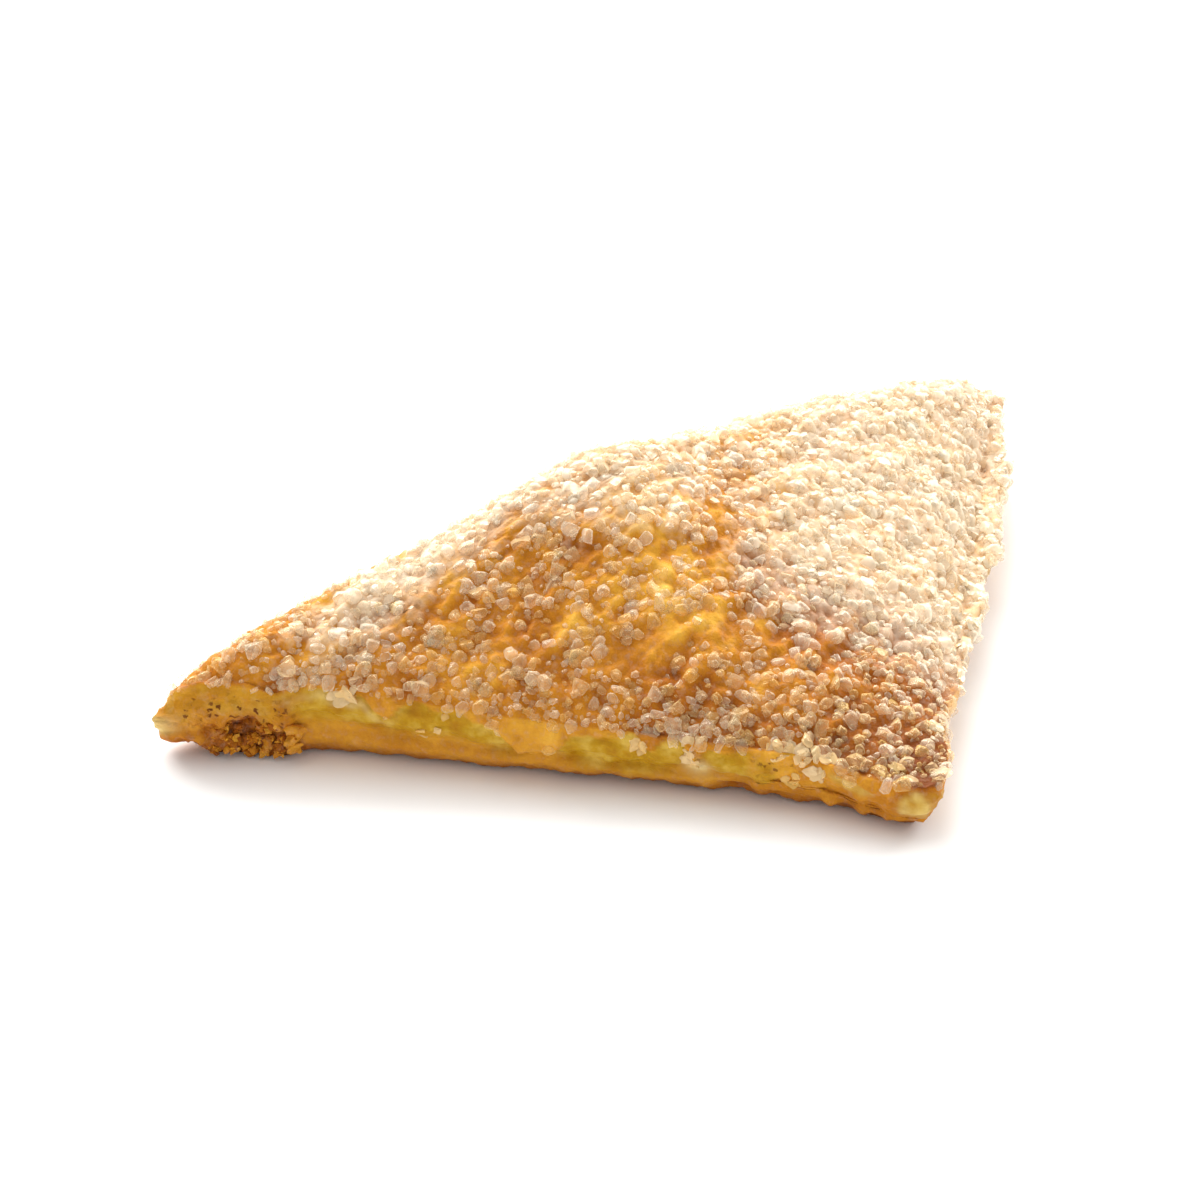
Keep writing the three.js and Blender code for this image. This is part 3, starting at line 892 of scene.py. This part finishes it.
sugarLook = {
    "clear": (1.0, 0.88, 0.68),
    "amber": (0.95, 0.6, 0.16),
    "roughness": 0.16,
    "body": 0.18,  # how much of the crust a crystal hides at its middle, and at its rim
    "rim": 0.85,
    "rimWidth": 1.8,
    # where the sugar lies thick the crystals hide more crust and turn whiter: partly painted light
    "thickCover": 0.14,  # what it hides on top of that where the sugar lies thick
    "amberShares": (0.1, 0.95),  # how amber crystals are, and what they lose of it where the sugar lies thick
    "thickWhite": 0.85,
    "cloudScale": 900.0,
}


def crystalSugar():
    n = Nodes("crystalSugar")
    cloud = n.noise(sugarLook["cloudScale"], 3)
    colour = n.mix(n.attribute("tint"), sugarLook["clear"], sugarLook["amber"])
    n.link(colour, n.shader.inputs["Base Color"])
    n.link(n.vary(sugarLook["roughness"], cloud, 0.2), n.shader.inputs["Roughness"])
    facing = n.add("ShaderNodeLayerWeight").outputs["Facing"]
    rim = n.sums("POWER", facing, sugarLook["rimWidth"])
    more = n.sums("MULTIPLY", rim, sugarLook["rim"] - sugarLook["body"])
    hide = n.sums("ADD", n.sums("ADD", more, sugarLook["body"]), n.attribute("milky"))
    n.link(n.vary(hide, cloud, 0.25), n.shader.inputs["Alpha"])
    n.fixed(IOR=1.5, Metallic=0.1, Specular_IOR_Level=0.4)
    return n.material


# What most crystals share; each kind states what it has of its own
crystals = {
    "detail": 2,
    "facets": 2,
    "flatness": 0.8,
    "lean": 0.4,  # how far they tip over on the crust
    "sharpAngle": 60,
    "shade": "tint",
    "milky": 0.0,
    "lumpSize": 0.8,  # in radii of the crystal
    "facetDepths": (0.5, 0.8),  # how far from the middle a facet cuts it
    "facetFlatness": 0.9,
    "stretch": (0.75, 1.2),
    "spin": (0.0, 6.28),  # radians
    "lowest": 0.02,  # height that none goes below
}


# Sugar crystals: rounded blocks, lumpy from melting and with a few flat facets left
def crystalShapes(rules, rng):
    shapes = []
    for _ in range(rules["shapes"]):
        block = bmesh.new()
        bmesh.ops.create_icosphere(block, subdivisions=rules["detail"], radius=1)
        faces = np.array([[v.index for v in f.verts] for f in block.faces])
        points = np.array([v.co[:] for v in block.verts])
        block.free()
        corner = rng.uniform(*rules["boxiness"])
        points *= ((np.abs(points) ** corner).sum(1) ** (-1 / corner))[:, None]
        lumpy = noiseOver(points, rules["lumpSize"], rng.uniform(0, 50, 3))
        points *= (1 + rules["lumpy"] * lumpy)[:, None]
        for _ in range(rules["facets"]):
            facing = rng.normal(size=3)
            facing /= np.linalg.norm(facing)
            over = np.maximum(points @ facing - rng.uniform(*rules["facetDepths"]), 0)
            points -= over[:, None] * facing * rules["facetFlatness"]
        shapes.append((points, faces))
    return shapes


# Many crystals joined into one mesh, each lying on its own patch of crust and with its own tint
def crystalMesh(name, sites, outward, sizes, tints, own, material, rng):
    rules = {**crystals, **own}
    shapes = crystalShapes(rules, rng)
    # crystals hide more of the crust where the sugar lies thick: partly painted light
    thick = unit(sugarAndLightOver(sites - toFrame) / 0.5)
    cover = rules["milky"] + sugarLook["thickCover"] * thick
    points, faces, tint, milky = [], [], [], []
    start = 0
    for i, site in enumerate(sites):
        shape, corners = shapes[int(rng.integers(len(shapes)))]
        lean = Vector(outward[i] + rules["lean"] * rng.normal(size=3)).normalized()
        spin = Quaternion((0, 0, 1), rng.uniform(*rules["spin"]))
        turn = Vector((0, 0, 1)).rotation_difference(lean) @ spin
        stretch = rng.uniform(*rules["stretch"], 3) * sizes[i] / 2 * np.array([1, 1, rules["flatness"]])
        points.append((shape * stretch) @ np.array(turn.to_matrix()).T + site)
        faces.append(corners + start)
        tint.append(np.full(len(shape), tints[i]))
        milky.append(np.full(len(shape), cover[i]))
        start += len(shape)
    points = np.concatenate(points)
    points[:, 2] = np.maximum(points[:, 2], rules["lowest"])
    made = meshObject(name, points, np.concatenate(faces).tolist(), material)
    made.data.set_sharp_from_angle(angle=math.radians(rules["sharpAngle"]))
    storeNumbers(made.data, rules["shade"], np.concatenate(tint))
    storeNumbers(made.data, "milky", np.concatenate(milky))
    print(name, len(sites), "crystals,", len(made.data.polygons), "faces")
    return made


# Spots on the crust, evenly scattered by area and thinned to a least spacing
def scatter(ground, weights, tries, spacing, rng):
    faces = ground.faces
    corners = ground.points[faces]
    diagonals = corners[:, 2] - corners[:, 0], corners[:, 3] - corners[:, 1]
    area = np.linalg.norm(np.cross(*diagonals), axis=1) / 2
    chance = area * weights[faces].mean(1)
    picks = rng.choice(len(faces), tries, p=chance / chance.sum())
    mixIn = rng.dirichlet((1, 1, 1, 1), tries)
    spots = (corners[picks] * mixIn[:, :, None]).sum(1)
    outward = (ground.normals[faces[picks]] * mixIn[:, :, None]).sum(1)
    outward /= np.linalg.norm(outward, axis=1)[:, None]
    taken, kept = {}, []
    for i, spot in enumerate(spots.tolist()):
        key = tuple(int(c // spacing) for c in spot)
        near = [
            j
            for a in (-1, 0, 1)
            for b in (-1, 0, 1)
            for c in (-1, 0, 1)
            for j in taken.get((key[0] + a, key[1] + b, key[2] + c), ())
        ]
        if all(np.dot(spots[j] - spots[i], spots[j] - spots[i]) > spacing**2 for j in near):
            taken.setdefault(key, []).append(i)
            kept.append(i)
    return spots[kept], outward[kept]


# The crust as something that other pieces settle on
class Ground:
    def __init__(self, crust, points, down, share):
        self.crust, self.points = crust, points
        self.normals = normalsOf(crust.data)
        self.faces = np.array([f.vertices[:] for f in crust.data.polygons if len(f.vertices) == 4])
        self.down, self.share = down, share
        self.tree = kdtree.KDTree(len(points))
        for i, point in enumerate(points.tolist()):
            self.tree.insert(point, i)
        self.tree.balance()

    # the nearest points of the crust and what is outward there, moved out by a share of each crystal's size
    def settle(self, spots, sizes, offsets):
        at = [self.tree.find(spot)[1] for spot in np.asarray(spots).tolist()]
        return self.points[at] + self.normals[at] * (offsets * sizes)[:, None], self.normals[at]


# A point on one of the cut sides
def sidePoint(side, share, z):
    nx, ny = sides[side]["normal"]
    along = share * leg - half
    x, y = (along, -half) if side == "front" else (half, along)
    bow = float(sides[side]["bow"](np.array(x), np.array(y)))
    return np.array([x + nx * bow, y + ny * bow, z]) + toFrame


# The largest lumps lie where the solid has them, each a cluster of fused crystals
lumps = {
    "count": 86,
    "tries": 6000,
    "largest": 4.4,
    "smallest": 2.6,
    "spacing": 7.0,
    "seed": 71,
    "margins": (5.0, 3.0, 4.0),  # how far they keep from the fold, the right side and the front
    "lift": 0.5,
    "crystals": 4,
    "mainShare": 0.6,  # the middle crystal's size as a share of the lump's
    "otherShares": (0.3, 0.52),
    "spread": 0.3,
    "offset": 0.05,  # how far a crystal's middle lies out of the crust, as a share of its size
    "shape": {"shapes": 14, "boxiness": (2.2, 4.0), "lumpy": 0.16, "flatness": 0.72},
}


def lumpSites():
    state = lumps["seed"]

    def draw():
        nonlocal state
        state = (state * 1664525 + 1013904223) & 0xFFFFFFFF
        return state / 4294967296

    sites = []
    fromFold, fromRight, fromFront = lumps["margins"]
    for _ in range(lumps["tries"]):
        if len(sites) == lumps["count"]:
            break
        x = (draw() - 0.5) * leg
        y = (draw() - 0.5) * leg
        if (x - y) / root2 < fromFold or x > half - fromRight or y < -half + fromFront:
            continue
        if any(math.hypot(s[0] - x, s[1] - y) < lumps["spacing"] for s in sites):
            continue
        part = len(sites) / lumps["count"]
        size = lumps["largest"] + (lumps["smallest"] - lumps["largest"]) * part
        z = float(crustHeight(np.array(x), np.array(y))) + lumps["lift"]
        sites.append((x, y, z, size))
    return sites


def makeLumps(ground, material, rng):
    spots, sizes = [], []
    for x, y, z, size in lumpSites():
        for k in range(lumps["crystals"]):
            step = rng.normal(size=3) * size * (0 if k == 0 else lumps["spread"])
            spots.append(np.array([x, y, z]) + toFrame + step)
            sizes.append(size * (lumps["mainShare"] if k == 0 else rng.uniform(*lumps["otherShares"])))
    sites, outward = ground.settle(spots, np.array(sizes), lumps["offset"])
    tints = sugarTints(sites, rng)
    return crystalMesh("sugarLumps", sites, outward, sizes, tints, lumps["shape"], material, rng)


# Crumbs of the torn tip, and the drip of melted sugar that hangs beside it
crumbs = {
    "count": 190,
    "along": (0.06, 0.155),  # share along the front side
    "height": (0.6, 6.4),
    "size": (0.6, 1.7),
    "browning": (0.28, 0.88),
    "offset": (-0.3, 0.0),
    "drip": [  # share along the front side, height, size
        (0.166, 6.8, 2.4),
        (0.171, 5.4, 2.6),
        (0.168, 4.2, 2.3),
        (0.173, 3.0, 2.0),
        (0.17, 1.9, 1.5),
    ],
    "dripBrowning": 0.42,
    "dripOffset": 0.25,
    "shape": {
        "shapes": 18,
        "boxiness": (1.9, 4.0),
        "lumpy": 0.7,
        "flatness": 0.75,
        "lean": 0.6,
        "shade": "browning",
    },
}


def makeCrumbs(ground, material, rng):
    count = crumbs["count"]
    dripAlong, dripHeights, dripSizes = zip(*crumbs["drip"])
    alongs = np.append(rng.uniform(*crumbs["along"], count), dripAlong)
    heights = np.append(rng.uniform(*crumbs["height"], count), dripHeights)
    sizes = np.append(rng.uniform(*crumbs["size"], count), dripSizes)
    drips = len(dripSizes)
    shades = np.append(rng.uniform(*crumbs["browning"], count), [crumbs["dripBrowning"]] * drips)
    offsets = np.append(rng.uniform(*crumbs["offset"], count), [crumbs["dripOffset"]] * drips)
    spots = [sidePoint("front", along, z) for along, z in zip(alongs, heights)]
    sites, outward = ground.settle(spots, sizes, offsets)
    return crystalMesh("tipCrumbs", sites, outward, sizes, shades, crumbs["shape"], material, rng)


# Flakes of crust and sugar that hang from the edge of the top sheet
flakes = {
    "front": [  # share along the side, height, spread, flakes, size, how amber
        (0.238, 12.4, 0.7, 9, 2.3, 0.6),
        (0.355, 9.4, 1.1, 4, 1.7, 0.8),
        (0.63, 8.8, 0.9, 6, 1.8, 0.8),
        (0.695, 9.2, 0.6, 7, 2.0, 0.7),
        (0.697, 7.4, 0.5, 6, 1.9, 0.7),
        (0.81, 10.2, 0.7, 7, 2.0, 0.65),
        (0.84, 9.6, 0.8, 12, 2.1, 0.6),
        (0.862, 8.2, 0.8, 14, 2.1, 0.6),
        (0.826, 6.0, 0.8, 6, 2.0, 1.0),
        (0.955, 8.6, 0.8, 4, 1.8, 0.8),
    ],
    "right": {  # smaller clusters along the right side's edge
        "clusters": 22,
        "shares": (0.06, 0.98),
        "heights": (7.0, 10.0),
        "spread": 1.0,
        "flakes": (2, 6),  # from the first to below the second
        "sizes": (1.6, 2.5),
        "amber": 0.3,
    },
    "sizeShares": (0.6, 1.1),
    "amberRange": (-0.15, 0.15),
    "offset": 0.06,
    "shape": {
        "shapes": 20,
        "boxiness": (3.0, 7.0),
        "lumpy": 0.35,
        "facets": 4,
        "flatness": 0.38,
        "lean": 0.25,
        "sharpAngle": 30,
        "milky": 0.38,
    },
}


def makeFlakes(ground, material, rng):
    clusters = [("front", *cluster) for cluster in flakes["front"]]
    right = flakes["right"]
    for _ in range(right["clusters"]):
        share = rng.uniform(*right["shares"])
        z = rng.uniform(*right["heights"])
        count = int(rng.integers(*right["flakes"]))
        size = rng.uniform(*right["sizes"])
        clusters.append(("right", share, z, right["spread"], count, size, right["amber"]))
    spots, sizes, tints = [], [], []
    for side, share, z, spread, count, size, tint in clusters:
        for _ in range(count):
            spots.append(sidePoint(side, share, z) + rng.normal(size=3) * spread)
            sizes.append(size * rng.uniform(*flakes["sizeShares"]))
            tints.append(unit(tint + rng.uniform(*flakes["amberRange"])))
    sites, outward = ground.settle(spots, np.array(sizes), flakes["offset"])
    return crystalMesh("edgeFlakes", sites, outward, sizes, tints, flakes["shape"], material, rng)


sugar = {
    "coarse": {
        "tries": 4200,
        "spacing": 1.5,
        "size": (1.4, 2.7),
        "offset": 0.02,
        "shapes": 24,
        "boxiness": (2.4, 4.6),
        "lumpy": 0.2,
        "facets": 3,
        "lean": 0.3,
        "sharpAngle": 40,
    },
    "fine": {
        "tries": 9500,
        "spacing": 0.72,
        "size": (0.6, 1.5),
        "offset": 0.0,
        "shapes": 20,
        "detail": 1,
        "boxiness": (2.2, 4.0),
        "lumpy": 0.25,
        "facets": 1,
        "sharpAngle": 50,
    },
    "seed": 12,
    "onLip": 1.5,  # how thickly it lies over the edge of the crust, where 1 is usual
    "everywhere": 0.45,
    "clumping": 1.5,
    "clumpSize": 6.0,
    "leastInClumps": 0.04,
    "overYellow": 0.5,  # how much less lies on the yellow patch
    "leftTop": 0.35,  # these are added in their places
    "frontEdge": 0.45,
    "squareCorner": 0.3,
}


# How likely sugar is to lie at each point of the crust
def sugarWeights(points, down, share):
    x, y, z = points.T
    onCrown = down == 0
    along = shareOf(x)
    lip = lipLine(points, along, share, nearTip(along, shareOf(y)))
    fold = share["fold"] * before(down, 0.8, 0.3)
    onLip = (1 - share["fold"]) * before(down, lip + 0.03, 0.08)
    onSide = np.where(down <= 1, np.maximum(fold, sugar["onLip"] * onLip), 0)
    weight = np.where(onCrown, 1, onSide)
    weight *= 1 - before(along, 0.06, 0.03) * before(z, 11, 3)
    patchX, patchY = crustLook["yellowPatch"]
    patch = sugar["overYellow"] * hump(x, patchX, 9) * hump(y, patchY, 8)
    slanted = points * np.array([1, 0.7, 1]) + np.outer(y, [0.4, 0, 0])
    clump = sugar["everywhere"] + sugar["clumping"] * noiseOver(slanted, sugar["clumpSize"], 4.4)
    thick = unit(sugarAndLightOver(points))
    weight *= np.clip(clump, sugar["leastInClumps"] + 0.5 * thick, 1.5) * (1 - patch) * (0.6 + 0.9 * thick)
    weight += sugar["leftTop"] * before(x, -30, 10) * onCrown
    weight += sugar["frontEdge"] * before(y, 9 - half, 6) * after(along, 0.17, 0.05) * onCrown
    weight += sugar["squareCorner"] * hump(x, 48, 14) * hump(y, -52, 9) * onCrown
    return np.clip(weight, 0, None)


# How amber each crystal is: warmer low on the front slope, whiter where the sugar lies thick, a whiteness
# that is partly painted light on the faces that the back lights reach
def sugarTints(sites, rng):
    thick = unit(sugarAndLightOver(sites - toFrame) + thickSugarAndLight["thinBelow"])
    tints = rng.uniform(*sugarLook["amberShares"], len(sites)) - sugarLook["thickWhite"] * thick
    return unit(tints)


def makeSugar(kind, ground, material, rng):
    rules = sugar[kind]
    weights = sugarWeights(ground.points - toFrame, ground.down, ground.share)
    spots, outward = scatter(ground, weights, rules["tries"], rules["spacing"], rng)
    sizes = rng.uniform(*rules["size"], len(spots))
    sites = spots + outward * (sizes * rules["offset"])[:, None]
    tints = sugarTints(sites, rng)
    return crystalMesh(kind + "Sugar", sites, outward, sizes, tints, rules, material, rng)


crustMaterial = bakedCrust()
sugarMaterial = crystalSugar()
ground = makeCrust(crustMaterial)
rng = np.random.default_rng(sugar["seed"])
pieces = [ground.crust, makeLumps(ground, sugarMaterial, rng)]
pieces += [makeCrumbs(ground, crustMaterial, rng), makeFlakes(ground, sugarMaterial, rng)]
for kind in ("coarse", "fine"):
    pieces.append(makeSugar(kind, ground, sugarMaterial, rng))

for piece in pieces:
    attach(piece, "root")
    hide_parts("turnover")

# Pale table and soft studio light
studio = {
    "tableSize": 3.0,
    "tableDrop": 0.00005,  # keeps the table just clear of the base
    "tableColours": [(0.9, 0.895, 0.885), (0.92, 0.915, 0.905)],
    "tableMottle": 40.0,
    "worldStrength": 0.7,
    "aim": (0.0, 0.0, 0.01),
    "backLight": {"from": (-0.45, 0.7, 0.7), "size": (1.2, 0.65), "watts": 18.0},
    "topLight": {"from": (-0.3, 0.2, 1.1), "size": (1.0, 1.0), "watts": 5.5},
    "sideLight": {"from": (0.5, 0.72, 0.55), "size": (0.7, 0.5), "watts": 7.0},
}


def paleTable():
    n = Nodes("paleTable")
    colour = n.mix(n.noise(studio["tableMottle"], 2), *studio["tableColours"])
    n.link(colour, n.shader.inputs["Base Color"])
    n.fixed(Roughness=0.9, Specular_IOR_Level=0.1)
    return n.material


def makeTable():
    sheet = bmesh.new()
    bmesh.ops.create_grid(sheet, x_segments=8, y_segments=8, size=studio["tableSize"] / 2)
    mesh = bpy.data.meshes.new("table")
    sheet.to_mesh(mesh)
    sheet.free()
    table = bpy.data.objects.new("table", mesh)
    table.location.z = -studio["tableDrop"]
    mesh.materials.append(paleTable())
    bpy.context.collection.objects.link(table)


def softLight(name, rules):
    lamp = bpy.data.lights.new(name, "AREA")
    lamp.shape = "RECTANGLE"
    lamp.size, lamp.size_y = rules["size"]
    lamp.energy = rules["watts"]
    held = bpy.data.objects.new(name, lamp)
    held.location = rules["from"]
    held.rotation_euler = (Vector(studio["aim"]) - held.location).to_track_quat("-Z", "Y").to_euler()
    bpy.context.collection.objects.link(held)


makeTable()
for lampName in ("backLight", "topLight", "sideLight"):
    softLight(lampName, studio[lampName])
world = bpy.data.worlds.new("studio")
world.use_nodes = True
world.node_tree.nodes["Background"].inputs["Color"].default_value = (1, 1, 1, 1)
world.node_tree.nodes["Background"].inputs["Strength"].default_value = studio["worldStrength"]
bpy.context.scene.world = world
bpy.context.scene.view_settings.view_transform = "Standard"
print("studio lit")
